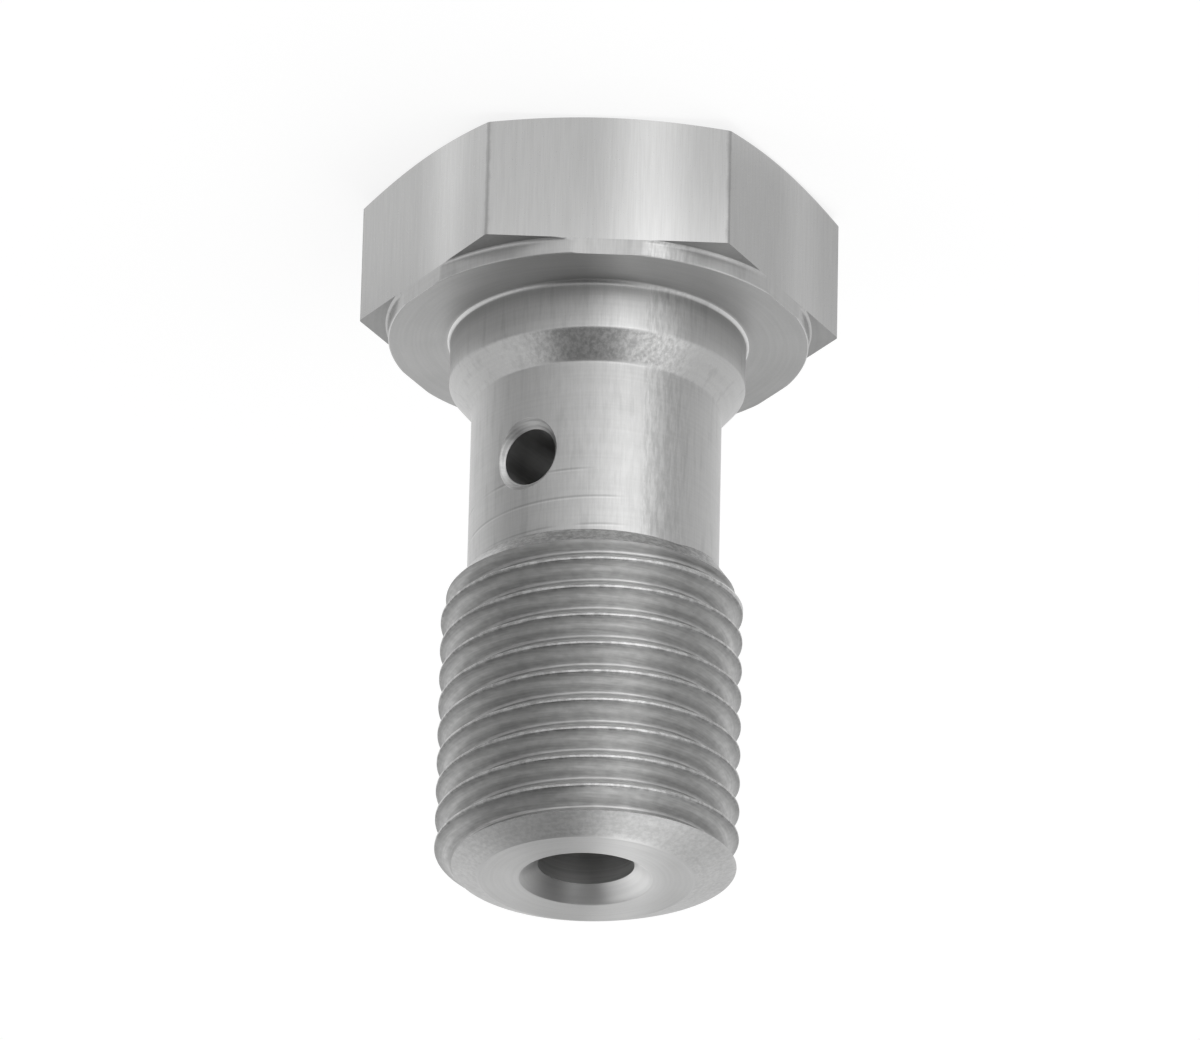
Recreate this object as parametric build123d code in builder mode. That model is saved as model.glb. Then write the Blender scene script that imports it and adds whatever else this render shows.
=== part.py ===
"""Banjo bolt, M10 x 1: a turned hexagon bolt, drilled up its axis and across its shank.

It stands on its head: the head's flat top face lies on Z = 0, the axis is Z and the
threaded end points up. Two flats of the hexagon face -Y and +Y. All sizes are in millimetres.
"""

import os
from math import cos, radians, tan

from build123d import *

# Hexagon head
HEX_ACROSS_FLATS = 13.75
HEX_EDGE_RADIUS = 0.16
HEAD_HEIGHT = 5.05
TOP_FACE_DIAMETER = 13.2
TOP_CHAMFER_ANGLE = 16.3

# Turned washer face under the head
WASHER_DIAMETER = 13.94
WASHER_HEIGHT = 0.57
WASHER_ROOT_CHAMFER = 0.1
WASHER_EDGE_CHAMFER = 0.05

# Collar that centres the banjo eye, and the cone that leads down to the shank
COLLAR_DIAMETER = 9.8
COLLAR_LENGTH = 1.65
COLLAR_ROOT_CHAMFER = 0.15
COLLAR_EDGE_CHAMFER = 0.08
CONE_LENGTH = 0.92
SHANK_DIAMETER = 8.27

# Thread
LENGTH_UNDER_HEAD = 19.21
THREAD_MAJOR_DIAMETER = 9.9
THREAD_PITCH = 1.0
THREAD_LENGTH = 10.61
THREAD_START_ANGLE = 41.0
THREAD_LEAD_IN = 0.855
END_FACE_DIAMETER = 7.0
END_CHAMFER_ANGLE = 22.0

# Blind bore up the axis, with a countersunk mouth and a drill point
BORE_DIAMETER = 3.15
BORE_MOUTH_DIAMETER = 4.35
BORE_MOUTH_ANGLE = 100.0
BORE_PAST_CROSS_HOLE = 1.7
DRILL_POINT_ANGLE = 118.0

# Cross hole through the shank, countersunk on both sides
CROSS_HOLE_DIAMETER = 1.95
CROSS_HOLE_MOUTH_DIAMETER = 2.57
CROSS_HOLE_MOUTH_ANGLE = 90.0
CROSS_HOLE_FROM_THREAD = 2.97
CROSS_HOLE_AZIMUTH = -54.5

# ISO metric profile: the shares of the pitch that the groove's depth and its opening take
THREAD_DEPTH_RATIO = 0.6134
GROOVE_OPENING_RATIO = 0.875
FLANK_ANGLE = 30.0
CUTTER_CLEARANCE_RATIO = 0.1

# Radii and heights that follow from the sizes above
hex_corner_radius = HEX_ACROSS_FLATS / 2 / cos(radians(30))
top_face_radius = TOP_FACE_DIAMETER / 2
washer_radius = WASHER_DIAMETER / 2
collar_radius = COLLAR_DIAMETER / 2
shank_radius = SHANK_DIAMETER / 2
major_radius = THREAD_MAJOR_DIAMETER / 2
end_face_radius = END_FACE_DIAMETER / 2
bore_radius = BORE_DIAMETER / 2
mouth_radius = BORE_MOUTH_DIAMETER / 2
cross_mouth_radius = CROSS_HOLE_MOUTH_DIAMETER / 2

step_z = HEAD_HEIGHT - WASHER_HEIGHT
collar_end_z = HEAD_HEIGHT + COLLAR_LENGTH
shank_z = collar_end_z + CONE_LENGTH
end_z = HEAD_HEIGHT + LENGTH_UNDER_HEAD
shoulder_z = end_z - THREAD_LENGTH
cross_hole_z = shoulder_z - CROSS_HOLE_FROM_THREAD
bore_bottom_z = cross_hole_z - BORE_PAST_CROSS_HOLE
drill_point_z = bore_bottom_z - bore_radius / tan(radians(DRILL_POINT_ANGLE / 2))
mouth_depth = (mouth_radius - bore_radius) / tan(radians(BORE_MOUTH_ANGLE / 2))

# Turned outline of the head, wide enough to clear the hexagon's corners
blank_radius = hex_corner_radius + HEX_ACROSS_FLATS / 10
blank_z = (blank_radius - top_face_radius) * tan(radians(TOP_CHAMFER_ANGLE))
foot_radius = collar_radius + 2 * COLLAR_ROOT_CHAMFER

# Outline that trims the thread, a little wider than its crests
outline_radius = major_radius + THREAD_PITCH / 4
outline_start_z = shoulder_z + (outline_radius - shank_radius) / tan(radians(THREAD_START_ANGLE))
outline_end_z = end_z - (outline_radius - end_face_radius) * tan(radians(END_CHAMFER_ANGLE))

# Groove between two turns of the thread
groove_depth = THREAD_DEPTH_RATIO * THREAD_PITCH
groove_overcut = CUTTER_CLEARANCE_RATIO * THREAD_PITCH
groove_opening = GROOVE_OPENING_RATIO * THREAD_PITCH
groove_half_root = groove_opening / 2 - groove_depth * tan(radians(FLANK_ANGLE))
groove_half_mouth = groove_opening / 2 + groove_overcut * tan(radians(FLANK_ANGLE))
groove_start_z = shoulder_z - THREAD_LEAD_IN
groove_height = end_z + THREAD_PITCH - groove_start_z


# Helical groove, starting over the bare shank and ending past the end face
with BuildPart() as thread_groove:
    with BuildLine() as groove_path:
        Helix(THREAD_PITCH, groove_height, major_radius, center=(0, 0, groove_start_z))
    groove_plane = Plane(groove_path.line @ 0, x_dir=(1, 0, 0), z_dir=groove_path.line % 0)
    with BuildSketch(groove_plane):
        with BuildLine():
            Polyline(
                (groove_overcut, groove_half_mouth),
                (-groove_depth, groove_half_root),
                (-groove_depth, -groove_half_root),
                (groove_overcut, -groove_half_mouth),
                close=True,
            )
        make_face()
    sweep(path=groove_path.line, is_frenet=True)


with BuildPart() as thread:
    # Rod, a pitch longer than the groove at each end
    with BuildSketch(Plane.XY.offset(groove_start_z - THREAD_PITCH)):
        Circle(major_radius)
    extrude(amount=groove_height + 2 * THREAD_PITCH)
    add(thread_groove.part, mode=Mode.SUBTRACT)

    # Turned outline: start chamfer, major diameter and end chamfer
    with BuildSketch(Plane.XZ):
        with BuildLine():
            Polyline(
                (0, shoulder_z),
                (shank_radius, shoulder_z),
                (outline_radius, outline_start_z),
                (outline_radius, outline_end_z),
                (end_face_radius, end_z),
                (0, end_z),
                close=True,
            )
        make_face()
    revolve(axis=Axis.Z, mode=Mode.INTERSECT)


with BuildPart() as banjo_bolt:
    # Hexagon bar, as long as the head is high
    with BuildSketch(Plane.XY) as bar_section:
        RegularPolygon(radius=hex_corner_radius, side_count=6)
        fillet(bar_section.vertices(), HEX_EDGE_RADIUS)
    extrude(amount=HEAD_HEIGHT)

    # Chamfered top and turned washer face, where the hexagon has metal
    with BuildSketch(Plane.XZ) as head_outline:
        with BuildLine():
            Polyline(
                (0, 0),
                (top_face_radius, 0),
                (blank_radius, blank_z),
                (blank_radius, step_z),
                (washer_radius, step_z),
                (washer_radius, HEAD_HEIGHT),
                (0, HEAD_HEIGHT),
                close=True,
            )
        make_face()
        chamfer(
            head_outline.vertices().sort_by_distance((washer_radius, step_z))[0],
            WASHER_ROOT_CHAMFER,
        )
        chamfer(
            head_outline.vertices().sort_by_distance((washer_radius, HEAD_HEIGHT))[0],
            WASHER_EDGE_CHAMFER,
        )
    revolve(axis=Axis.Z, mode=Mode.INTERSECT)

    # Collar, cone and shank, on a foot inside the head
    with BuildSketch(Plane.XZ) as shank_outline:
        with BuildLine():
            Polyline(
                (0, step_z),
                (foot_radius, step_z),
                (foot_radius, HEAD_HEIGHT),
                (collar_radius, HEAD_HEIGHT),
                (collar_radius, collar_end_z),
                (shank_radius, shank_z),
                (shank_radius, shoulder_z),
                (0, shoulder_z),
                close=True,
            )
        make_face()
        chamfer(
            shank_outline.vertices().sort_by_distance((collar_radius, HEAD_HEIGHT))[0],
            COLLAR_ROOT_CHAMFER,
        )
        chamfer(
            shank_outline.vertices().sort_by_distance((collar_radius, collar_end_z))[0],
            COLLAR_EDGE_CHAMFER,
        )
    revolve(axis=Axis.Z)

    add(thread.part)

    # Blind bore, countersunk at the end face
    with BuildSketch(Plane.XZ):
        with BuildLine():
            Polyline(
                (0, drill_point_z),
                (bore_radius, bore_bottom_z),
                (bore_radius, end_z - mouth_depth),
                (mouth_radius, end_z),
                (0, end_z),
                close=True,
            )
        make_face()
    revolve(axis=Axis.Z, mode=Mode.SUBTRACT)

    # Cross hole, countersunk on both sides of the shank
    for azimuth in (CROSS_HOLE_AZIMUTH, CROSS_HOLE_AZIMUTH + 180):
        outward = Vector(1, 0, 0).rotate(Axis.Z, azimuth)
        with Locations(Plane(outward * shank_radius + (0, 0, cross_hole_z), z_dir=outward)):
            CounterSinkHole(
                CROSS_HOLE_DIAMETER / 2,
                cross_mouth_radius,
                depth=shank_radius,
                counter_sink_angle=CROSS_HOLE_MOUTH_ANGLE,
            )

banjo_bolt.part.label = "banjo_bolt"

os.makedirs("parts", exist_ok=True)
export_step(banjo_bolt.part, "parts/banjo_bolt.step")
print("solids", len(banjo_bolt.part.solids()), "faces", len(banjo_bolt.part.faces()))
print("volume", round(banjo_bolt.part.volume, 3), "valid", banjo_bolt.part.is_valid)
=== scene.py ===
"""Banjo bolt, dressed for a studio picture. Metres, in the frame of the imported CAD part."""

import math

import bmesh
import bpy
import numpy as np
from mathutils import Matrix, Vector


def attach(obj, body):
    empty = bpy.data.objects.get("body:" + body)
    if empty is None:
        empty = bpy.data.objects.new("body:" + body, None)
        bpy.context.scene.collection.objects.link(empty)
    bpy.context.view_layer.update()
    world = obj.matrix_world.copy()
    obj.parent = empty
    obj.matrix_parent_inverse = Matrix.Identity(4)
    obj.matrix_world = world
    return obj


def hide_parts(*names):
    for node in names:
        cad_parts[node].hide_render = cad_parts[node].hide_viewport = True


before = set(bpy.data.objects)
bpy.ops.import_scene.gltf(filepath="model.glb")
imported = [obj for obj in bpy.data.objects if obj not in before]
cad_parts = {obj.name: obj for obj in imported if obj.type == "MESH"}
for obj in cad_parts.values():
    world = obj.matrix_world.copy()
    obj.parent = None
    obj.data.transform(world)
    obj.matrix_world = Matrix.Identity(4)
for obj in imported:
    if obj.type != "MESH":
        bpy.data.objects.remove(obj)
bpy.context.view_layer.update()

MM = 0.001

# Camera, as fitted to the photograph. The fit counted heights down from a place on the bolt's axis
CAMERA_DISTANCE = 381.452 * MM
CAMERA_ELEVATION = math.radians(24.639)
CAMERA_ROLL = math.radians(1.329)
CAMERA_NEAR = 0.01
CAMERA_FAR = 50
FOCAL_PIXELS = 11595.33
FRAME_PIXELS = 1200
SENSOR_WIDTH = 36.0
TARGET_ASIDE = 0.19245 * MM
TARGET_ALONG = 3.62069 * MM
PHOTO_ZERO_HEIGHT = 15.05 * MM
HEAD_TURN = math.radians(1.7404)


def from_photo(x, y, w):
    """A direction in the photograph's frame (right, away, up) as one in the part's frame."""
    across = x * math.cos(HEAD_TURN) + y * math.sin(HEAD_TURN)
    away = -x * math.sin(HEAD_TURN) + y * math.cos(HEAD_TURN)
    return Vector((-across, away, -w))


def add_camera():
    """The camera of the photograph, which looks up at the threaded end and sees the bolt upside down."""
    right = Vector((1, 0, 0))
    up = Vector((0, -math.sin(CAMERA_ELEVATION), math.cos(CAMERA_ELEVATION)))
    back = Vector((0, -math.cos(CAMERA_ELEVATION), -math.sin(CAMERA_ELEVATION)))
    image_right = right * math.cos(CAMERA_ROLL) + up * math.sin(CAMERA_ROLL)
    image_up = up * math.cos(CAMERA_ROLL) - right * math.sin(CAMERA_ROLL)
    target = Vector((TARGET_ASIDE, 0, TARGET_ALONG))
    place = from_photo(*(target + back * CAMERA_DISTANCE)) + Vector((0, 0, PHOTO_ZERO_HEIGHT))
    axes = [from_photo(*v) for v in (image_right, image_up, back)]
    matrix = Matrix([[*(a[row] for a in axes), place[row]] for row in range(3)] + [[0, 0, 0, 1]])
    data = bpy.data.cameras.new("photo_camera")
    data.sensor_fit = "HORIZONTAL"
    data.sensor_width = SENSOR_WIDTH
    data.lens = FOCAL_PIXELS * SENSOR_WIDTH / FRAME_PIXELS
    data.clip_start = CAMERA_NEAR
    data.clip_end = CAMERA_FAR
    camera = bpy.data.objects.new("photo_camera", data)
    bpy.context.scene.collection.objects.link(camera)
    camera.matrix_world = matrix
    bpy.context.scene.camera = camera


# Hexagon head and its washer face. The shape is in millimetres until the mesh is scaled
APOTHEM = 13.75 / 2
HEX_EDGE_RADIUS = 0.16
TOP_FACE_RADIUS = 6.6
TOP_CHAMFER = math.radians(16.3)
HEAD_Z = 5.05
STEP_Z = HEAD_Z - 0.57
WASHER_RADIUS = 6.97
WASHER_FILLET = 0.14
WASHER_ROUND = 0.06

# Collar, cone and shank
COLLAR_RADIUS = 4.9
COLLAR_FILLET = 0.17
COLLAR_END_Z = HEAD_Z + 1.65
COLLAR_ROUND = 0.06
SHANK_RADIUS = 4.135
SHANK_Z = COLLAR_END_Z + 0.92
SHANK_ROUND = 0.05

# Threaded end. Towards one side its start chamfer reaches further down the shank, fading in between
# two cosines of the angle from that side
END_Z = HEAD_Z + 19.21
SHOULDER_Z = END_Z - 10.61
THREAD_START = math.radians(41)
START_REACH = 0.28
START_SIDE = math.pi
START_FADE = (0.64, 0.94)
END_FACE_RADIUS = 3.5
END_CHAMFER = math.radians(22)

# Helical groove. Its first turn lacks some depth, in steps: depth, turn where the step ends, turns of fade
PITCH = 1.0
MAJOR_RADIUS = 4.95
GROOVE_OPENING = 0.915
GROOVE_START_Z = SHOULDER_Z - 0.875
ROOT_RADIUS = 0.115
FLANK = math.radians(30)
CREST_ROUND = 0.022
SHALLOW_START = [(0.32, 1.70, 0.2), (0.28, 1.5, 0.4)]

# Wear of the crests: nicks are where a random number passes a limit
WEAR_SEED = 7
WEAR_KNOTS_PER_TURN = 70
WEAR_WIDTH = 0.03
NICK_DEPTH = 0.010
NICK_LIMIT = 1.1
NICK_MOST = 1.6
RIPPLE_DEPTH = 0.0012

# Cross hole, and the blind bore with its countersunk mouth and drill point
CROSS_Z = SHOULDER_Z - 2.97
CROSS_RADIUS = 0.975
CROSS_MOUTH_RADIUS = 1.285
CROSS_AZIMUTH = math.radians(-54.5)
BORE_RADIUS = 1.575
BORE_BOTTOM_Z = CROSS_Z - 1.7
DRILL_POINT = math.radians(59)
MOUTH_RADIUS = 2.175
MOUTH_HALF_ANGLE = math.radians(50)
MOUTH_DEPTH = (MOUTH_RADIUS - BORE_RADIUS) / math.tan(MOUTH_HALF_ANGLE)
MOUTH_ROUND = 0.05

# Thread tool: where it starts and stops cutting, and its narrow and wide radii beyond
TOOL_LOW_Z = 12.95
TOOL_HIGH_Z = 25.6
TOOL_BOTTOM_Z = -1.0
TOOL_FLARE = 0.3
TOOL_NECK = MAJOR_RADIUS - 0.4
TOOL_WIDE = 2 * TOOL_NECK

# Mesh: columns, rows on flat and straight stretches, and rows along the cross hole
LATHE_COLUMNS = 240
THREAD_COLUMNS = 256
HOLE_COLUMNS = 128
TOP_FACE_RADII = (0, 2.2, 4.4, 6.0, TOP_FACE_RADIUS)
COLLAR_HEIGHTS = (HEAD_Z + 0.28, HEAD_Z + 0.75, HEAD_Z + 1.25)
SHANK_ROWS_FROM_Z = 8.0
SHANK_ROW_GAP = 0.25
END_FACE_RADII = (END_FACE_RADIUS, END_FACE_RADIUS - 0.03, 2.9, MOUTH_RADIUS + 0.09)
BORE_HEIGHTS = (23.7, 22, 19, 16, 13.5, 12.2, 11.4, 10.7, 10.0, 9.4, BORE_BOTTOM_Z)
CROSS_HOLE_PLACES = (-2.8, -1.9, -0.9, 0, 0.9, 1.9, 2.8)
CROSS_HOLE_REACH = 5.1

# Distances at which places merge and at which they count as on a ring, flatness of a face, and the
# least angle of a sharp edge
MERGE = 1e-5
MERGE_AFTER_CUT = 2e-5
NEAR_HEIGHT = 1e-4
NEAR_RADIUS = 2e-3
FLATNESS = math.radians(0.1)
SHARP_EDGE = math.radians(26)

# Angle of half a side of the hexagon, the middle of an edge's round, and the angle at which it starts
HALF_SIDE = math.pi / 6
EDGE_CENTRE = (APOTHEM - HEX_EDGE_RADIUS) / math.cos(HALF_SIDE)
EDGE_START = math.atan2(HEX_EDGE_RADIUS / 2, EDGE_CENTRE + HEX_EDGE_RADIUS * math.cos(HALF_SIDE))


def hexagon_radius(theta):
    """Distance from the axis to the hexagon's side along each direction, with rounded edges."""
    from_flat = theta % (2 * HALF_SIDE) - HALF_SIDE
    flat = APOTHEM / np.cos(from_flat)
    from_corner = HALF_SIDE - np.abs(from_flat)
    inside = np.maximum(HEX_EDGE_RADIUS**2 - (EDGE_CENTRE * np.sin(from_corner)) ** 2, 0)
    arc = EDGE_CENTRE * np.cos(from_corner) + np.sqrt(inside)
    return np.where(from_corner < EDGE_START, arc, flat)


def even_angles(count):
    """Directions of columns that are evenly spaced round the axis."""
    return np.arange(count) * 2 * math.pi / count


def lathe_angles():
    """Directions of the lathe grid's columns, with some where edges meet the hexagon's sides."""
    rims = (WASHER_RADIUS - WASHER_ROUND, WASHER_RADIUS, WASHER_RADIUS + WASHER_FILLET)
    meets = [math.acos(APOTHEM / radius) for radius in rims]
    exact = []
    for side in range(6):
        corner = side * math.pi / 3
        flat = corner + HALF_SIDE
        exact += [corner + share * EDGE_START for share in (-1, -0.5, 0, 0.5, 1)]
        exact += [flat + sign * meet for meet in meets for sign in (-1, 1)]
    exact = np.sort(np.mod(exact, 2 * math.pi))

    # An even column that is nearly on one of these is left out
    plain = even_angles(LATHE_COLUMNS)
    gap = np.abs((plain[:, None] - exact[None, :] + math.pi) % (2 * math.pi) - math.pi).min(1)
    return np.sort(np.concatenate([exact, plain[gap > 0.3 * plain[1]]]))


def straight(start, end, shares):
    """Places on a straight stretch of the outline, at shares of its length."""
    return [tuple(a + share * (b - a) for a, b in zip(start, end)) for share in shares]


def hollow_round(radius, height, size, count):
    """Places on the round where a cylinder stands on a face."""
    turns = np.radians(np.linspace(0, 90, count))
    return [(radius + size * (1 - math.sin(t)), height + size * (1 - math.cos(t))) for t in turns]


def rim_round(radius, height, size, count):
    """Places on the round where a cylinder ends in a face."""
    turns = np.radians(np.linspace(0, 90, count))
    return [(radius - size * (1 - math.cos(t)), height - size * (1 - math.sin(t))) for t in turns]


def corner_round(before, corner, after, length):
    """Places on the round at a corner of the outline, which starts and ends at a length from it."""
    before, corner, after = (np.array(place) for place in (before, corner, after))
    start = corner + (before - corner) / np.linalg.norm(before - corner) * length
    end = corner + (after - corner) / np.linalg.norm(after - corner) * length
    return [start * (1 - t) ** 2 + corner * 2 * t * (1 - t) + end * t**2 for t in (0, 0.25, 0.5, 0.75, 1)]


def head_rows(limit):
    """Top face, its chamfer, and the hexagon's sides down to the step."""
    rows = [(radius, 0) for radius in TOP_FACE_RADII]
    corner_z = (limit - TOP_FACE_RADIUS) * math.tan(TOP_CHAMFER)
    rows += straight((TOP_FACE_RADIUS, 0), (limit, corner_z), (0.02, 0.35, 0.7, 1))
    rows += straight((limit, corner_z), (limit, STEP_Z), (0.01, 0.35, 0.7, 0.99, 1))
    return rows


def washer_rows(limit):
    """Root and rim of the washer face, and the face in to the collar."""
    rows = hollow_round(WASHER_RADIUS, STEP_Z, WASHER_FILLET, 6)
    rows += rim_round(WASHER_RADIUS, HEAD_Z, WASHER_ROUND, 5)
    rim = np.minimum(WASHER_RADIUS - WASHER_ROUND, limit)
    foot = COLLAR_RADIUS + COLLAR_FILLET
    rows += straight((rim, HEAD_Z), (foot, HEAD_Z), (0.02, 0.3, 0.65, 0.98))
    return rows


def collar_rows():
    """Collar and cone, down to the shank's first round."""
    rows = hollow_round(COLLAR_RADIUS, HEAD_Z, COLLAR_FILLET, 8)
    rows += [(COLLAR_RADIUS, height) for height in COLLAR_HEIGHTS]
    collar_end = (COLLAR_RADIUS, COLLAR_END_Z)
    shank_start = (SHANK_RADIUS, SHANK_Z)
    rows += corner_round((COLLAR_RADIUS, HEAD_Z), collar_end, shank_start, COLLAR_ROUND)
    rows += straight(collar_end, shank_start, (0.1, 0.35, 0.65, 0.9))
    rows += corner_round(collar_end, shank_start, (SHANK_RADIUS, SHOULDER_Z), SHANK_ROUND)
    return rows


def shank_rows(angles):
    """Shank up to the thread's start chamfer, which comes early on one side."""
    heights = [SHANK_Z + 0.08, *np.arange(SHANK_ROWS_FROM_Z, SHOULDER_Z - SHANK_ROW_GAP, SHANK_ROW_GAP)]
    fade_from, fade_to = START_FADE
    early = START_REACH * np.clip((np.cos(angles - START_SIDE) - fade_from) / (fade_to - fade_from), 0, 1)
    heights += [SHOULDER_Z - early - before for before in (0.03, 0)]
    return [(SHANK_RADIUS, height) for height in heights]


def end_rows():
    """Start chamfer, a stretch wider than the thread, end chamfer and end face."""
    over = MAJOR_RADIUS + PITCH / 4
    rows = [(over, SHOULDER_Z + (over - SHANK_RADIUS) / math.tan(THREAD_START))]
    rows += [(over, END_Z - (over - END_FACE_RADIUS) * math.tan(END_CHAMFER))]
    rows += [(radius, END_Z) for radius in END_FACE_RADII]
    return rows


def bore_rows():
    """Countersunk mouth, blind bore and drill point."""
    mouth = (MOUTH_RADIUS, END_Z)
    mouth_end = (BORE_RADIUS, END_Z - MOUTH_DEPTH)
    rows = corner_round((END_FACE_RADIUS, END_Z), mouth, mouth_end, MOUTH_ROUND)
    rows += straight(mouth, mouth_end, (0.12, 0.5, 0.88, 1))
    rows += [(BORE_RADIUS, height) for height in BORE_HEIGHTS]
    point = (0, BORE_BOTTOM_Z - BORE_RADIUS / math.tan(DRILL_POINT))
    rows += straight((BORE_RADIUS, BORE_BOTTOM_Z), point, (0.03, 0.5, 1))
    return rows


def bolt_outline(angles):
    """Rows of radius and height from the head's top face to the bottom of the bore.

    Both can differ from column to column: the hexagon limits the radius, and the chamfer at the
    thread's start begins early on one side.
    """
    limit = hexagon_radius(angles)
    rows = head_rows(limit) + washer_rows(limit) + collar_rows()
    rows += shank_rows(angles) + end_rows() + bore_rows()
    radius = np.array([np.minimum(r, limit) for r, z in rows])
    height = np.array([z + 0 * limit for r, z in rows])
    return radius, height


def grid_places(radius, height, angles):
    """Vertices of a grid round the axis."""
    return np.stack([radius * np.cos(angles), radius * np.sin(angles), height], -1).reshape(-1, 3).tolist()


def grid_faces(rows, columns, climb=0):
    """Faces of a grid that closes round the axis, and climbs by some rows where it does."""
    faces = []
    for column in range(columns):
        across = (column + 1) % columns
        lift = climb if across == 0 else 0
        for row in range(rows - 1 - lift):
            a = row * columns + column
            b = (row + lift) * columns + across
            faces.append((a, b, b + columns, a + columns))
    return faces


def closed_object(name, verts, faces):
    """An object with doubled and collapsed places merged, flat faces only, and all turned outwards."""
    mesh = bpy.data.meshes.new(name)
    mesh.from_pydata(verts, [], faces)
    work = bmesh.new()
    work.from_mesh(mesh)
    bmesh.ops.remove_doubles(work, verts=work.verts, dist=MERGE)
    bmesh.ops.dissolve_degenerate(work, edges=work.edges, dist=MERGE)
    loose = [v for v in work.verts if not v.link_faces]
    bmesh.ops.delete(work, geom=loose, context="VERTS")
    bmesh.ops.connect_verts_nonplanar(work, angle_limit=FLATNESS, faces=work.faces)
    bmesh.ops.recalc_face_normals(work, faces=work.faces)
    work.to_mesh(mesh)
    work.free()
    made = bpy.data.objects.new(name, mesh)
    bpy.context.scene.collection.objects.link(made)
    return made


def lathe_object(name, radius, height, angles):
    """A closed mesh from rings of radius and height, each with a value for every angle."""
    return closed_object(name, grid_places(radius, height, angles), grid_faces(*radius.shape))


def groove_profile(offset):
    """Radius of the thread at a distance along the axis from the middle of the groove."""
    apex = MAJOR_RADIUS - GROOVE_OPENING / 2 / math.tan(FLANK)
    away = np.abs(offset)
    flank = apex + away / math.tan(FLANK)
    within = np.minimum(away, ROOT_RADIUS * math.cos(FLANK))
    root = apex + 2 * ROOT_RADIUS - np.sqrt(ROOT_RADIUS**2 - within**2)
    radius = np.where(away < ROOT_RADIUS * math.cos(FLANK), root, flank)
    return (radius + MAJOR_RADIUS - np.sqrt((radius - MAJOR_RADIUS) ** 2 + CREST_ROUND**2)) / 2


def groove_offsets():
    """Distances from the middle of the groove to the rows of one turn, closest where it bends most."""
    tangent = ROOT_RADIUS * math.cos(FLANK)
    edge = GROOVE_OPENING / 2
    half = [0.3 * tangent, 0.6 * tangent, 0.85 * tangent, tangent + 0.01, 0.28]
    half += [edge - 0.03, edge - 0.008, edge + 0.006, edge + 0.025]
    return np.array([-away for away in half[::-1]] + [0.0] + half + [PITCH / 2])


def crest_wear(turn, offset):
    """How much small nicks and ripples take off both edges of the crests."""
    rng = np.random.default_rng(WEAR_SEED)
    knots = np.linspace(turn.min(), turn.max(), int(np.ptp(turn) * WEAR_KNOTS_PER_TURN))
    worn = np.zeros_like(turn)
    for side in (-1, 1):
        nick = np.clip(rng.normal(0, 1, len(knots)) - NICK_LIMIT, 0, NICK_MOST)
        ripple = rng.normal(0, 1, len(knots))
        near = np.clip(1 - np.abs(offset - side * GROOVE_OPENING / 2) / WEAR_WIDTH, 0, 1)[:, None]
        depth = NICK_DEPTH * np.interp(turn, knots, nick) + RIPPLE_DEPTH * np.interp(turn, knots, ripple)
        worn += near * depth
    return worn


def thread_rows(angles):
    """Rows of radius and height that climb with the helix, narrow below and above the thread."""
    first = math.floor((TOOL_LOW_Z - GROOVE_START_Z) / PITCH) - 2
    last = math.ceil((TOOL_HIGH_Z - GROOVE_START_Z) / PITCH)
    turns = np.arange(first, last + 1)
    offset = np.tile(groove_offsets(), len(turns))
    turn = np.repeat(turns, len(groove_offsets()))[:, None] + (angles / (2 * math.pi))[None, :]
    height = GROOVE_START_Z + (turn * PITCH + offset[:, None])
    lacking = sum(depth * np.clip((end - turn) / fade, 0, 1) for depth, end, fade in SHALLOW_START)
    radius = groove_profile(offset)[:, None] - crest_wear(turn, offset)
    radius = np.where(lacking > 0, np.minimum(radius + lacking, MAJOR_RADIUS), radius)
    radius = np.where((height < TOOL_LOW_Z) | (height > TOOL_HIGH_Z), TOOL_NECK, radius)
    return radius, np.clip(height, TOOL_LOW_Z, TOOL_HIGH_Z)


def thread_tool():
    """A closed solid that is wider than the bolt everywhere except over the thread."""
    angles = even_angles(THREAD_COLUMNS)
    radius, height = thread_rows(angles)
    verts = grid_places(radius, height, angles)
    faces = grid_faces(*radius.shape, climb=len(groove_offsets()))

    def ring(size, z):
        verts.extend((size * math.cos(t), size * math.sin(t), z) for t in angles)
        return len(verts) - THREAD_COLUMNS

    def bridge(lower, upper):
        for column in range(THREAD_COLUMNS):
            across = (column + 1) % THREAD_COLUMNS
            faces.append((lower + column, lower + across, upper + across, upper + column))

    flare = ring(TOOL_WIDE, TOOL_LOW_Z - TOOL_FLARE)
    base = ring(TOOL_WIDE, TOOL_BOTTOM_Z)
    bridge(flare, ring(TOOL_NECK, TOOL_LOW_Z))
    bridge(base, flare)
    faces.append(range(base + THREAD_COLUMNS - 1, base - 1, -1))
    top = ring(TOOL_NECK, TOOL_HIGH_Z)
    faces.append(range(top, top + THREAD_COLUMNS))
    return closed_object("thread_tool", verts, faces)


def cross_hole_tool():
    """Drill and countersinks of the cross hole, along its axis and wider than the thread."""
    sink = SHANK_RADIUS - (CROSS_MOUTH_RADIUS - CROSS_RADIUS)
    wide = CROSS_RADIUS + CROSS_HOLE_REACH - sink
    rows = [(0, -CROSS_HOLE_REACH), (wide, -CROSS_HOLE_REACH), (CROSS_RADIUS, -sink)]
    rows += [(CROSS_RADIUS, along) for along in CROSS_HOLE_PLACES]
    rows += [(CROSS_RADIUS, sink), (wide, CROSS_HOLE_REACH), (0, CROSS_HOLE_REACH)]
    angles = even_angles(HOLE_COLUMNS)
    radius, height = (np.array(column)[:, None] + 0 * angles for column in zip(*rows))
    made = lathe_object("cross_hole_tool", radius, height, angles)
    turn = Matrix.Rotation(CROSS_AZIMUTH, 4, "Z") @ Matrix.Rotation(math.pi / 2, 4, "Y")
    made.data.transform(Matrix.Translation((0, 0, CROSS_Z)) @ turn)
    return made


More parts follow.
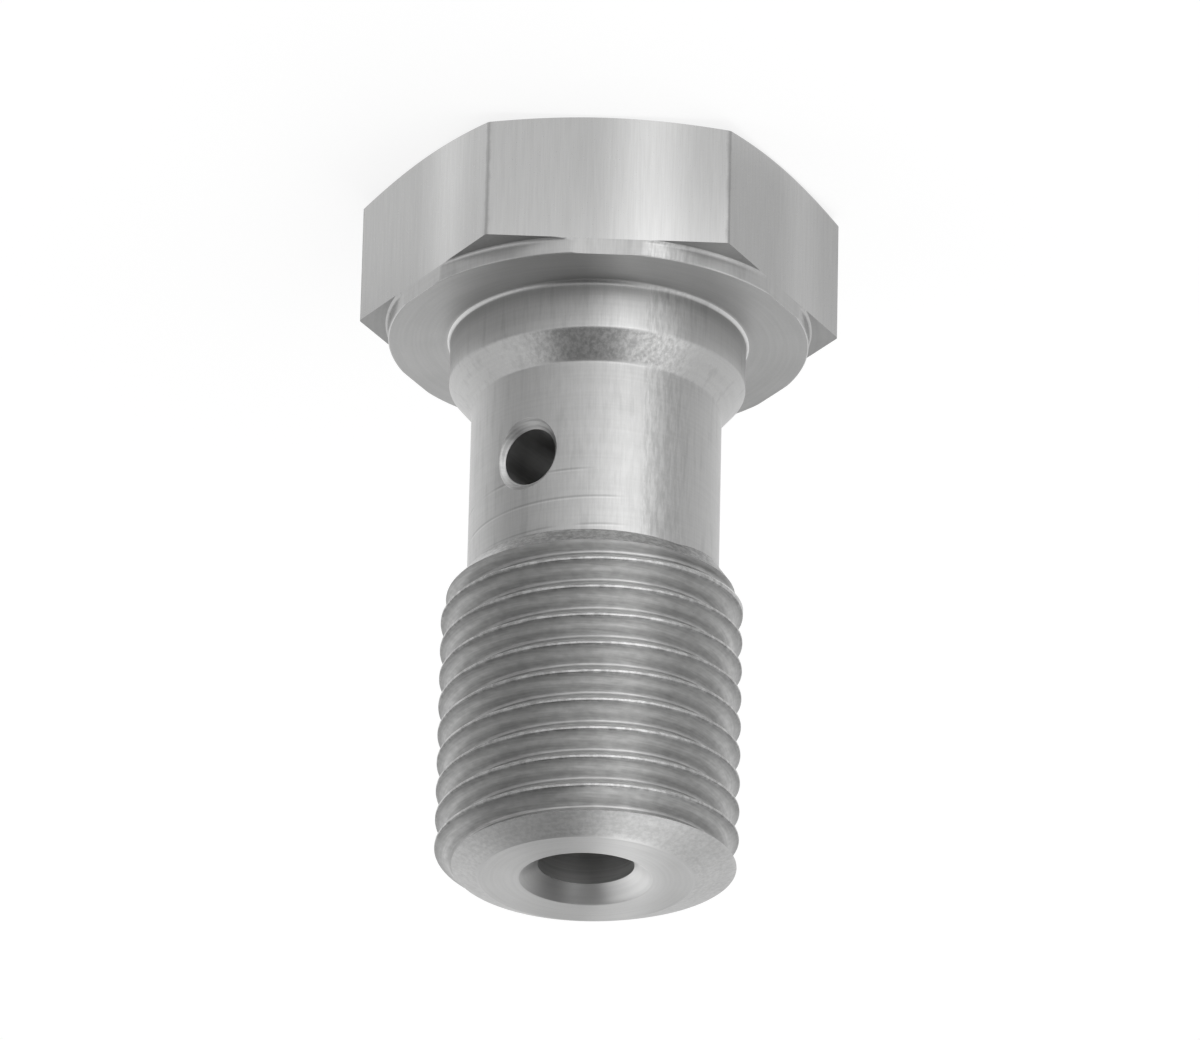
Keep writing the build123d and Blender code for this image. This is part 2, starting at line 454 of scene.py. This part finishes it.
class Nodes:
    """Adds shader nodes to a tree and links them, with sockets or plain values as inputs."""

    def __init__(self, tree):
        self.tree = tree

    def add(self, kind, *values, **settings):
        made = self.tree.nodes.new("ShaderNode" + kind)
        for name, value in settings.items():
            setattr(made, name, value)
        for place, value in enumerate(values):
            self.feed(made.inputs[place], value)
        return made

    def feed(self, socket, value):
        if isinstance(value, bpy.types.NodeSocket):
            self.tree.links.new(value, socket)
        else:
            socket.default_value = value

    def math(self, operation, *values, clamp=False):
        return self.add("Math", *values, operation=operation, use_clamp=clamp).outputs[0]

    def plus(self, a, b):
        return self.math("ADD", a, b)

    def minus(self, a, b):
        return self.math("SUBTRACT", a, b)

    def times(self, a, b, *more):
        product = self.math("MULTIPLY", a, b)
        return self.times(product, *more) if more else product

    def dot(self, a, b):
        return self.add("VectorMath", a, b, operation="DOT_PRODUCT").outputs["Value"]

    def length(self, vector):
        return self.add("VectorMath", vector, operation="LENGTH").outputs["Value"]

    def scaled(self, vector, scale):
        return self.add("VectorMath", vector, scale, operation="MULTIPLY").outputs[0]

    def choose(self, factor, first, second):
        """The first number where the factor is 0, the second where it is 1."""
        made = self.add("Mix", factor, data_type="FLOAT")
        self.feed(made.inputs[2], first)
        self.feed(made.inputs[3], second)
        return made.outputs[0]

    def step(self, value, start, end, low=0.0, high=1.0):
        """A smooth change from low to high as the value goes from start to end."""
        made = self.add("MapRange", value, start, end, low, high, interpolation_type="SMOOTHSTEP")
        return made.outputs[0]

    def peak(self, value, centre, width):
        """1 at the centre, falling smoothly to 0 at a distance of one width."""
        away = self.math("ABSOLUTE", self.minus(value, centre))
        return self.step(away, 0.0, width, 1.0, 0.0)

    def noise(self, vector, detail=2.0, roughness=0.5):
        """Noise that changes about once per unit of the vector."""
        made = self.add("TexNoise", noise_dimensions="3D")
        self.feed(made.inputs["Vector"], vector)
        made.inputs["Scale"].default_value = 1.0
        made.inputs["Detail"].default_value = detail
        made.inputs["Roughness"].default_value = roughness
        return made.outputs[0]

    def curve(self, value, points, top):
        """A number that follows (place, height) points, with heights up to top."""
        ramp = self.add("ValToRGB", value)
        stops = ramp.color_ramp
        stops.interpolation = "B_SPLINE"
        while len(stops.elements) < len(points):
            stops.elements.new(0.5)
        for stop, (place, height) in zip(stops.elements, points):
            stop.position = place
            stop.color = (height / top, height / top, height / top, 1)
        return self.times(ramp.outputs[0], top)


# Light round the bolt: (degrees from the camera's side towards the photograph's right, strength)
LIGHT_ROUND = [
    (-180, 0.95), (-140, 0.98), (-112, 0.85), (-92, 0.56), (-72, 0.40), (-52, 0.52), (-30, 0.74), (-8, 1.02),
    (8, 1.40), (24, 1.85), (38, 1.80), (52, 1.02), (68, 0.58), (88, 0.70), (125, 0.85), (180, 0.95),
]
LIGHT_ROUND_TOP = 2.0

# Soft boxes and dark cards above: direction to the right, away and up, inner and outer angle, strength
SKY_PATCHES = [
    ((0.19, 0.06, 0.98), 4, 14, 1.30),
    ((0.28, 0.38, 0.88), 4, 16, 1.00),
    ((-0.34, 0.24, 0.91), 10, 32, -0.60),
    ((0.48, 0.25, 0.84), 4, 16, -0.30),
    ((-0.12, -0.55, 0.82), 14, 31, -0.74),
    ((0.62, -0.33, 0.71), 8, 26, 0.50),
    ((-0.79, -0.05, 0.61), 6, 26, 0.25),
]
SKY_LEVEL = 0.85

# Rise of a direction at which the light round the bolt gives way to the sky
SKY_FROM = 0.25
SKY_FULL = 0.60

TO_RIGHT = from_photo(1, 0, 0)
TO_BACK = from_photo(0, 1, 0)
WHITE = (1, 1, 1, 1)


def light_round(n, place):
    """Strength of the light by the direction round the bolt."""
    across = n.dot(place, TO_RIGHT)
    towards = n.times(n.dot(place, TO_BACK), -1.0)
    angle = n.math("ARCTAN2", across, towards)
    turn = n.math("MULTIPLY_ADD", angle, 1 / (2 * math.pi), 0.5)
    points = [((degrees + 180) / 360, strength) for degrees, strength in LIGHT_ROUND]
    return n.curve(turn, points, LIGHT_ROUND_TOP)


def sky_light(n, direction):
    """Strength of the light from above."""
    sky = SKY_LEVEL
    for (right, back, rise), inner, outer, strength in SKY_PATCHES:
        centre = (TO_RIGHT * right + TO_BACK * back + Vector((0, 0, rise))).normalized()
        near = n.dot(direction, centre)
        patch = n.step(near, math.cos(math.radians(outer)), math.cos(math.radians(inner)), 0.0, strength)
        sky = n.plus(patch, sky)
    return sky


def make_world():
    """A studio that lights the bolt from all sides, and that the camera itself sees as white."""
    world = bpy.data.worlds.new("studio")
    bpy.context.scene.world = world
    world.use_nodes = True
    n = Nodes(world.node_tree)
    direction = n.add("TexCoord").outputs["Generated"]
    low = n.step(n.dot(direction, (0, 0, 1)), SKY_FROM, SKY_FULL, 1.0, 0.0)
    light = n.choose(low, sky_light(n, direction), light_round(n, direction))
    shown = n.choose(n.add("LightPath").outputs["Is Camera Ray"], light, 1.0)
    background = world.node_tree.nodes["Background"]
    background.inputs["Color"].default_value = WHITE
    n.feed(background.inputs["Strength"], shown)


# Floor, in metres: half its width, its drop below the bolt, and where its own glow near the bolt
# ends. Then the glow that metal sees there, less on the right, and what the camera sees
FLOOR_REACH = 5
FLOOR_DROP = 0.00001
FLOOR_NEAR = (0.014, 0.020)
FLOOR_RIGHT = (0.003, 0.008)
FLOOR_GLOW = 0.90
FLOOR_GLOW_RIGHT = 0.70
FLOOR_WHITE = 0.80
FLOOR_COLOUR = (0.27, 0.27, 0.27, 1)


def floor_material():
    """White with a faint shadow to the camera, and to metal as bright as the light round the bolt."""
    material = bpy.data.materials.new("floor")
    material.use_nodes = True
    material.node_tree.nodes.clear()
    n = Nodes(material.node_tree)
    place = n.add("NewGeometry").outputs["Position"]
    near = n.step(n.dot(place, TO_RIGHT), *FLOOR_RIGHT, FLOOR_GLOW, FLOOR_GLOW_RIGHT)
    strength = n.choose(n.step(n.length(place), *FLOOR_NEAR), near, light_round(n, place))
    glow = n.add("Emission", WHITE, strength)
    white = n.add("Emission", WHITE, FLOOR_WHITE)
    matte = n.add("BsdfDiffuse", FLOOR_COLOUR)
    seen = n.add("AddShader", white.outputs[0], matte.outputs[0])
    camera_ray = n.add("LightPath").outputs["Is Camera Ray"]
    both = n.add("MixShader", camera_ray, glow.outputs[0], seen.outputs[0])
    n.add("OutputMaterial", both.outputs[0])
    return material


def make_floor():
    """A wide white floor just under the bolt."""
    mesh = bpy.data.meshes.new("floor")
    corners = [(-1, -1), (1, -1), (1, 1), (-1, 1)]
    mesh.from_pydata([(x * FLOOR_REACH, y * FLOOR_REACH, 0) for x, y in corners], [], [(0, 1, 2, 3)])
    mesh.materials.append(floor_material())
    floor = bpy.data.objects.new("floor", mesh)
    floor.location.z = -FLOOR_DROP
    bpy.context.scene.collection.objects.link(floor)


# Base colour, roughness and anisotropy of each kind of surface
FINISHES = {
    "hex_flats": (0.50, 0.30, 0.6),
    "turned": (0.50, 0.36, 0.7),
    "faces": (0.50, 0.40, 0.6),
    "bearing": (0.44, 0.42, 0.5),
    "thread": (0.48, 0.34, 0.5),
    "bores": (0.46, 0.45, 0.3),
}
WARMTH = (1, 1, 0.995)
BRUSH_TURN = 0.25
ROUGHNESS_SPREAD = 0.12
GRAIN_HEIGHT = 0.3
BUMP_STRENGTH = 0.35
BUMP_DISTANCE = 0.000004
TOOL_PATH_PHASE = 0.69

# Changes of the noise per millimetre along x, y and z
UPRIGHT = (9, 9, 0.35)
UPRIGHT_FINE = (26, 26, 0.9)
UPRIGHT_DASHES = (9, 9, 1.6)
UPRIGHT_STAINS = (3.2, 3.2, 0.5)
LEVEL = (0.35, 0.35, 11)
LEVEL_FINE = (0.8, 0.8, 30)
LEVEL_STAINS = (3, 3, 9)
CLOUDS = (0.45, 0.45, 0.45)
PATCHES = (0.55, 0.55, 0.9)
GRAIN = (16, 16, 16)
SPECKS = (2.7, 3.1, 2.3)

# Limits of a noise between which a pattern goes from one tone to the other
SOFT = (0.3, 0.7)
CRISP = (0.35, 0.65)


class Steel:
    """A satin steel: places on the bolt in millimetres, and the tone, with its marks and painted light and
    shade, and the relief so far.
    """

    def __init__(self, kind):
        self.material = bpy.data.materials.new("steel_" + kind)
        self.material.use_nodes = True
        self.n = Nodes(self.material.node_tree)
        n = self.n
        self.coordinates = n.add("TexCoord")
        self.place = n.scaled(self.coordinates.outputs["Object"], (1 / MM, 1 / MM, 1 / MM))
        self.x, self.y, self.z = n.add("SeparateXYZ", self.place).outputs
        self.radius = n.math("SQRT", n.plus(n.times(self.x, self.x), n.times(self.y, self.y)))
        self.angle = n.math("ARCTAN2", self.y, self.x)
        self.aside = n.dot(self.place, TO_RIGHT)
        self.grain = self.noise(GRAIN, 3.0, 0.6)
        self.tone = 1.0
        self.height = n.times(self.grain, GRAIN_HEIGHT)

    def vector(self, x, y, z):
        return self.n.add("CombineXYZ", x, y, z).outputs[0]

    def noise(self, stretch, detail=2.0, roughness=0.5):
        return self.n.noise(self.n.scaled(self.place, stretch), detail, roughness)

    def front(self, power):
        """1 on the front of the bolt, falling to 0 round it, sooner with a higher power."""
        n = self.n
        half = n.times(n.plus(self.angle, math.pi / 2), 0.5)
        return n.math("POWER", n.math("COSINE", half, clamp=True), power)

    def by_height(self, start, end):
        """A mask that goes from 0 at one height to 1 at the other."""
        return self.n.step(self.z, start, end)

    def by_radius(self, start, end):
        """A mask that goes from 0 at one radius to 1 at the other."""
        return self.n.step(self.radius, start, end)

    def shade(self, factor):
        """Multiplies the tone."""
        self.tone = self.n.times(factor, self.tone)

    def tint(self, mask, by, rest=1.0):
        """Multiplies the tone by rest where the mask is 0, and by rest and the amount where it is 1."""
        self.shade(self.n.plus(self.n.times(mask, by), rest))

    def streaks(self, noise, low, high):
        """Multiplies the tone by a soft pattern."""
        self.shade(self.n.step(noise, *SOFT, low, high))

    def raise_by(self, noise, amount):
        """Adds a noise to the relief."""
        self.height = self.n.plus(self.height, self.n.times(noise, amount))

    def finished(self, base, roughness, stretch):
        """The material, with the tone and the relief on its shader."""
        n = self.n
        shader = self.material.node_tree.nodes["Principled BSDF"]
        shader.inputs["Metallic"].default_value = 1
        shader.inputs["Anisotropic"].default_value = stretch
        shader.inputs["Anisotropic Rotation"].default_value = BRUSH_TURN
        tangent = n.add("Tangent", direction_type="RADIAL", axis="Z")
        n.feed(shader.inputs["Tangent"], tangent.outputs[0])
        grey = self.vector(self.tone, self.tone, self.tone)
        n.feed(shader.inputs["Base Color"], n.scaled(grey, [base * warmth for warmth in WARMTH]))
        least = roughness * (1 - ROUGHNESS_SPREAD)
        most = roughness * (1 + ROUGHNESS_SPREAD)
        n.feed(shader.inputs["Roughness"], n.step(self.grain, 0.2, 0.8, least, most))
        bump = n.add("Bump")
        bump.inputs["Strength"].default_value = BUMP_STRENGTH
        bump.inputs["Distance"].default_value = BUMP_DISTANCE
        n.feed(bump.inputs["Height"], self.height)
        n.feed(shader.inputs["Normal"], bump.outputs[0])
        return self.material


def place_on_flat(s):
    """Distance from the middle of the nearest flat to the left or right."""
    n = s.n
    sector = n.times(n.minus(s.angle, -math.pi / 2 - HALF_SIDE), 1 / (2 * HALF_SIDE))
    within = n.times(n.minus(n.math("FRACT", sector), 0.5), 2 * HALF_SIDE)
    return n.times(n.math("TANGENT", within), APOTHEM)


def mark_flats_and_paint_highlight(s):
    """Hexagon's sides: upright streaks, a painted highlight band, and a ragged dark line along each edge."""
    n = s.n
    s.streaks(s.noise(UPRIGHT), 0.975, 1.02)
    s.streaks(s.noise(UPRIGHT_FINE), 0.97, 1.02)
    along = place_on_flat(s)
    # Painted highlight: a light band across each flat, strongest on the front
    painted_highlight_band = n.plus(n.peak(along, -1.3, 2.0), n.step(along, -0.4, -2.2, 0.0, 0.20))
    s.tint(n.times(painted_highlight_band, n.plus(n.times(s.front(8.0), 0.8), 0.2)), by=0.45)
    ragged = n.times(s.noise((3, 3, 3), 3.0), 0.14)
    near_edge = n.step(n.plus(n.math("ABSOLUTE", along), ragged), 3.90, 4.02)
    s.tint(near_edge, by=-0.26)
    s.raise_by(s.noise(UPRIGHT), 0.5)


def paint_collar_root_light(s, front):
    """Foot of the collar: painted shade near the root, and on the round a painted highlight at the sides
    with painted shade on its front.
    """
    n = s.n
    # Painted shade where the collar stands on the washer face
    painted_shade_at_root = s.by_height(HEAD_Z + 0.75, HEAD_Z + 0.14)
    painted_shade_at_root = n.times(painted_shade_at_root, s.by_radius(COLLAR_RADIUS + 0.3, COLLAR_RADIUS + 0.2))
    s.tint(painted_shade_at_root, by=-0.24, rest=1.03)
    # Painted highlight on the round at the sides, painted shade on its front
    painted_light_on_round = s.by_height(HEAD_Z + 0.15, HEAD_Z + 0.09)
    painted_light_on_round = n.times(painted_light_on_round, s.by_height(HEAD_Z - 0.02, HEAD_Z + 0.01))
    s.tint(painted_light_on_round, by=n.plus(n.times(front, -1.3), 1.0))


def paint_washer_rim_shade(s, front):
    """Rim of the washer face: painted shade to the right of its front."""
    painted_shade_rim = s.by_radius(WASHER_RADIUS - 0.27, WASHER_RADIUS - 0.17)
    # Painted shade
    s.tint(s.n.times(painted_shade_rim, s.n.peak(s.aside, 3.0, 1.2), front), by=-0.40)


def paint_collar_highlight(s, front):
    """Collar: a painted highlight band in front."""
    n = s.n
    low = s.by_height(HEAD_Z + 0.2, HEAD_Z + 0.6)
    high = s.by_height(COLLAR_END_Z + 0.05, COLLAR_END_Z - 0.05)
    # Painted highlight
    s.tint(n.times(low, high, n.peak(s.aside, 0.7, 1.4), front), by=0.24)


def mottle_cone_and_paint_shade(s, front):
    """Cone: a mottle on its front, mostly darker: painted shade with a mottled texture."""
    n = s.n
    mottle = n.step(s.noise((7, 7, 4), 4.0, 0.7), *CRISP, -0.24, 0.09)
    past_collar = s.by_height(COLLAR_END_Z, COLLAR_END_Z + 0.08)
    before_shank = s.by_height(SHANK_Z - 0.02, SHANK_Z - 0.12)
    on_cone = n.times(past_collar, before_shank)
    # Painted shade, mottled, on the cone's front only
    s.tint(n.times(on_cone, n.step(front, 0.3, 0.9)), by=mottle)


def mark_stains(s, front):
    """Stains on all turned sides, and short upright dashes, most of them to the right of the front."""
    n = s.n
    s.tint(n.step(s.noise(UPRIGHT_STAINS, 3.0), 0.52, 0.72), by=-0.10)
    rough_side = n.times(n.step(s.aside, 1.45, 1.65), n.step(s.aside, 3.6, 2.4))
    dashes = n.step(s.noise(UPRIGHT_DASHES, 4.0, 0.7), *CRISP, -0.17, 0.15)
    s.tint(n.times(n.plus(n.times(rough_side, 0.8), 0.2), front), by=dashes)


def mark_tool_path(s):
    """Some stretches of the line that the turning tool left on the shank, a millimetre apart."""
    n = s.n
    climbed = n.minus(n.plus(s.z, n.times(s.angle, -1 / (2 * math.pi))), TOOL_PATH_PHASE)
    from_line = n.minus(n.math("FRACT", n.plus(climbed, 0.5)), 0.5)
    shown = n.step(s.noise(PATCHES, 1.0), 0.36, 0.56)
    past_hole = s.by_height(CROSS_Z + 0.22, CROSS_Z + 0.62)
    before_thread = s.by_height(SHOULDER_Z - 0.05, SHOULDER_Z - 0.1)
    shown = n.times(shown, n.times(past_hole, before_thread))
    shown = n.times(shown, n.step(s.aside, 1.3, 0.3))
    s.tint(n.times(n.peak(from_line, 0.0, 0.06), shown), by=-0.25)
    s.tint(n.times(n.peak(from_line, 0.07, 0.05), shown), by=0.15)


def mark_turned_and_paint_light(s):
    """Turned sides: fine lines round the bolt, and the marks, painted shade and painted highlights of each
    part.
    """
    s.streaks(s.noise(LEVEL), 0.975, 1.02)
    s.streaks(s.noise(UPRIGHT_FINE), 0.965, 1.02)
    front = s.front(12.0)
    paint_collar_root_light(s, front)
    paint_washer_rim_shade(s, front)
    paint_collar_highlight(s, front)
    mottle_cone_and_paint_shade(s, front)
    mark_stains(s, front)
    mark_tool_path(s)
    s.raise_by(s.noise(LEVEL_FINE), 0.6)


def paint_end_light_and_shade(s):
    """End face and bore's mouth: a painted highlight band to the right, a painted shade band to the left,
    and painted shade in the mouth.
    """
    n = s.n
    near_end = s.by_height(END_Z - 1.26, END_Z - 0.86)
    mouth = s.by_radius(MOUTH_RADIUS + 0.02, MOUTH_RADIUS - 0.02)
    end = n.times(near_end, s.by_radius(END_FACE_RADIUS + 0.3, END_FACE_RADIUS - 0.1))
    # Painted highlight to the right and painted shade to the left, both stronger in the mouth
    light = n.times(n.peak(s.aside, 1.4, 1.6), n.plus(n.times(mouth, 0.60), 0.34))
    painted_end_shade = n.times(n.peak(s.aside, -0.95, 1.7), n.plus(n.times(mouth, -0.60), -0.12))
    s.tint(end, by=n.plus(light, painted_end_shade))
    # Painted shade over the whole mouth
    s.shade(n.step(n.times(mouth, near_end), 0.0, 1.0, 1.0, 0.88))


def mottle_end_chamfer_and_paint_shade(s):
    """End chamfer: a mottle, with painted shade to the left of the middle."""
    n = s.n
    on_chamfer = s.by_radius(END_FACE_RADIUS + 0.02, END_FACE_RADIUS + 0.1)
    on_chamfer = n.times(on_chamfer, s.by_height(END_Z - 1.26, END_Z - 1.06))
    mottle = n.step(s.noise((6, 6, 6), 4.0, 0.7), *CRISP, -0.10, 0.06)
    # Painted shade to the left of the middle
    mottle = n.plus(mottle, n.times(n.peak(s.aside, -0.5, 1.8), -0.17))
    s.tint(on_chamfer, by=mottle)


def mark_faces_and_paint_light(s):
    """Turned faces: rings round the axis, clouds, and the marks and painted light and shade of each face."""
    n = s.n
    rings = s.vector(n.times(s.radius, 9), n.times(s.x, 0.3), n.times(s.y, 0.3))
    s.streaks(n.noise(rings), 0.965, 1.03)
    s.streaks(s.noise(CLOUDS), 0.96, 1.02)
    paint_end_light_and_shade(s)
    mottle_end_chamfer_and_paint_shade(s)
    # Painted shade on the step under the hexagon and on the top face
    painted_shade_step_or_top = s.by_height(STEP_Z + 0.2, STEP_Z + 0.1)
    s.tint(painted_shade_step_or_top, by=-0.28)
    # Painted shade on the bearing face to the right
    painted_shade_right_of_bearing = n.times(n.peak(s.z, HEAD_Z, 0.3), n.step(s.aside, 0.5, 2.0))
    s.tint(painted_shade_right_of_bearing, by=-0.10)
    s.raise_by(n.noise(n.scaled(rings, (2.5, 1, 1))), 0.6)


def mark_thread_and_paint_light(s):
    """Thread: lines along it, a rough start with painted shade to the right, painted shade and light on its
    flanks and roots, and worn crests.
    """
    n = s.n
    rise = n.add("SeparateXYZ", s.coordinates.outputs["Normal"]).outputs[2]
    s.streaks(s.noise(LEVEL_FINE), 0.90, 1.07)
    s.streaks(s.noise(LEVEL_STAINS, 4.0), 0.91, 1.07)
    # Painted shade on the flanks at the left and right sides
    painted_shade_sides = n.step(n.math("ABSOLUTE", s.aside), 2.8, 4.4)
    s.tint(n.times(painted_shade_sides, n.step(rise, 0.2, 0.5)), by=-0.07)
    # The start's roughness, with painted shade to the right
    rough_start_and_shade = n.step(s.noise((5, 5, 8), 4.0, 0.75), 0.38, 0.62, -0.12, 0.30)
    rough_start_and_shade = n.plus(rough_start_and_shade, n.step(s.aside, 2.0, 2.8, 0.0, -0.36))
    at_start = n.times(s.by_height(SHOULDER_Z + 0.95, SHOULDER_Z + 0.65), n.step(rise, -0.3, -0.5))
    s.tint(at_start, by=rough_start_and_shade)
    # Painted shade on the upper flanks, darkest near the crest
    painted_shade_upper_flank = n.times(s.by_radius(MAJOR_RADIUS - 0.35, MAJOR_RADIUS - 0.02), n.step(rise, 0.3, 0.6))
    s.tint(painted_shade_upper_flank, by=-0.42)
    # Painted light on the lower flanks past the thread's start, where shade falls
    painted_light_lower_flank = n.times(n.step(rise, -0.3, -0.6), s.by_height(SHOULDER_Z + 0.75, SHOULDER_Z + 1.15))
    s.tint(painted_light_lower_flank, by=0.55)
    # Painted shade in the roots
    painted_shade_in_root = n.times(s.by_radius(MAJOR_RADIUS - 0.33, MAJOR_RADIUS - 0.53), n.step(rise, 0.1, 0.5))
    s.tint(painted_shade_in_root, by=-0.24)
    worn = n.step(s.noise((3.5, 3.5, 3.5), 4.0, 0.7), *CRISP, -0.20, 0.24)
    s.tint(s.by_radius(MAJOR_RADIUS - 0.09, MAJOR_RADIUS - 0.03), by=worn)
    s.raise_by(s.noise(LEVEL_FINE), 0.6)


def mark_bores_and_paint_light(s):
    """Bores: rings and painted light in the cross hole's mouth, and painted light on the right of the long
    bore near its mouth.
    """
    n = s.n
    from_hole = n.add("VectorMath", s.place, (0, 0, CROSS_Z), operation="SUBTRACT").outputs[0]
    outward = (math.cos(CROSS_AZIMUTH), math.sin(CROSS_AZIMUTH), 0)
    beside = n.add("VectorMath", from_hole, outward, operation="CROSS_PRODUCT").outputs[0]
    rings = s.vector(n.times(n.length(beside), 14), n.times(s.x, 0.8), n.times(s.z, 0.8))
    s.tint(s.by_radius(2.4, 3.2), by=n.step(n.noise(rings), *SOFT, -0.28, 0.15))
    # Painted light in the cross hole's mouth
    s.tint(n.times(s.by_radius(2.0, 3.6), n.step(n.dot(from_hole, (0, 0, 1)), -0.3, 0.7)), by=0.8)
    # Painted light on the right of the long bore near its mouth
    s.tint(n.times(s.by_height(END_Z - 4.26, END_Z - 1.76), n.step(s.aside, 0.1, 1.3)), by=0.8)
    s.streaks(s.noise(LEVEL), 0.90, 1.05)


MARKS_AND_PAINTED_LIGHT = {
    "hex_flats": mark_flats_and_paint_highlight,
    "turned": mark_turned_and_paint_light,
    "faces": mark_faces_and_paint_light,
    "bearing": mark_faces_and_paint_light,
    "thread": mark_thread_and_paint_light,
    "bores": mark_bores_and_paint_light,
}


def steel(kind):
    """A satin steel with the marks and painted light and shade of its kind of surface, and small dark
    specks.
    """
    s = Steel(kind)
    MARKS_AND_PAINTED_LIGHT[kind](s)
    s.shade(s.n.step(s.noise(SPECKS, 5.0, 0.8), 0.70, 0.74, 1.0, 0.75))
    return s.finished(*FINISHES[kind])


def kinds_of_surface(mesh):
    """The finish of each face, by its place and direction. The mesh is still in millimetres."""
    count = len(mesh.polygons)
    centre = np.empty(count * 3)
    normal = np.empty(count * 3)
    mesh.polygons.foreach_get("center", centre)
    mesh.polygons.foreach_get("normal", normal)
    x, y, z = centre.reshape(-1, 3).T
    rise = normal.reshape(-1, 3)[:, 2]
    radius = np.hypot(x, y)

    # A later line overrules an earlier one
    chamfer_z = END_Z - np.clip(radius - END_FACE_RADIUS, 0, None) * math.tan(END_CHAMFER)
    out_of_bore = radius > BORE_RADIUS + 0.01
    in_mouth = (z > END_Z - 0.56) & (radius < MOUTH_RADIUS + 0.1)
    on_chamfer = (z > END_Z - 1.26) & (np.abs(z - chamfer_z) < 0.02)
    above_shank = (z > SHOULDER_Z) & (radius > END_FACE_RADIUS - 0.1)
    thread_start = (z > SHOULDER_Z - 0.65) & (z <= SHOULDER_Z) & (radius > SHANK_RADIUS + 0.01)
    on_head = (z < STEP_Z + 0.01) & (radius > WASHER_RADIUS - 0.15)
    places = [
        ("thread", above_shank),
        ("faces", out_of_bore & (on_chamfer | in_mouth)),
        ("turned", (z <= SHOULDER_Z) & (radius > SHANK_RADIUS - 0.03)),
        ("thread", thread_start),
        ("bearing", (z < HEAD_Z + 0.02) & (rise > 0.9)),
        ("hex_flats", on_head & (np.abs(rise) < 0.2)),
        ("faces", (z < 0.5) & (rise < -0.5)),
    ]
    kinds = list(FINISHES)
    found = np.full(count, kinds.index("bores"))
    for kind, where in places:
        found[where] = kinds.index(kind)
    return kinds, found


def cut(body, tool, operation):
    """Applies an exact boolean with a tool, which is then deleted."""
    change = body.modifiers.new(operation, "BOOLEAN")
    change.operation = operation
    change.solver = "EXACT"
    change.object = tool
    bpy.context.view_layer.update()
    graph = bpy.context.evaluated_depsgraph_get()
    mesh = bpy.data.meshes.new_from_object(body.evaluated_get(graph))
    body.modifiers.clear()
    body.data = mesh
    bpy.data.objects.remove(tool)


def on_ring(edge, radius, height):
    """Whether both ends of an edge are on a circle round the axis."""
    away = [(abs(v.co.z - height), abs(v.co.xy.length - radius)) for v in edge.verts]
    return all(rise < NEAR_HEIGHT and across < NEAR_RADIUS for rise, across in away)


def clean_and_mark(mesh):
    """Merges what the cuts left doubled, and marks the sharp edges and the rims of the two end faces."""
    work = bmesh.new()
    work.from_mesh(mesh)
    bmesh.ops.remove_doubles(work, verts=work.verts, dist=MERGE_AFTER_CUT)
    bmesh.ops.dissolve_degenerate(work, edges=work.edges, dist=MERGE_AFTER_CUT)
    for edge in work.edges:
        crisp = on_ring(edge, TOP_FACE_RADIUS, 0) or on_ring(edge, END_FACE_RADIUS, END_Z)
        edge.smooth = not crisp and edge.calc_face_angle(0) < SHARP_EDGE
    for face in work.faces:
        face.smooth = True
    work.to_mesh(mesh)
    work.free()


def make_bolt():
    """The bolt: a lathe shape cut by the thread and the cross hole, with the finish of each face."""
    angles = lathe_angles()
    bolt = lathe_object("bolt_body", *bolt_outline(angles), angles)
    cut(bolt, thread_tool(), "INTERSECT")
    cut(bolt, cross_hole_tool(), "DIFFERENCE")
    clean_and_mark(bolt.data)
    kinds, found = kinds_of_surface(bolt.data)
    for kind in kinds:
        bolt.data.materials.append(steel(kind))
    bolt.data.polygons.foreach_set("material_index", found)
    bolt.data.transform(Matrix.Scale(MM, 4))
    bolt.data.update()
    weigh = bolt.modifiers.new("weighted_normals", "WEIGHTED_NORMAL")
    weigh.keep_sharp = True
    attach(bolt, "root")
    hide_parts("banjo_bolt")


add_camera()
make_world()
make_floor()
make_bolt()
bpy.context.scene.view_settings.view_transform = "Standard"
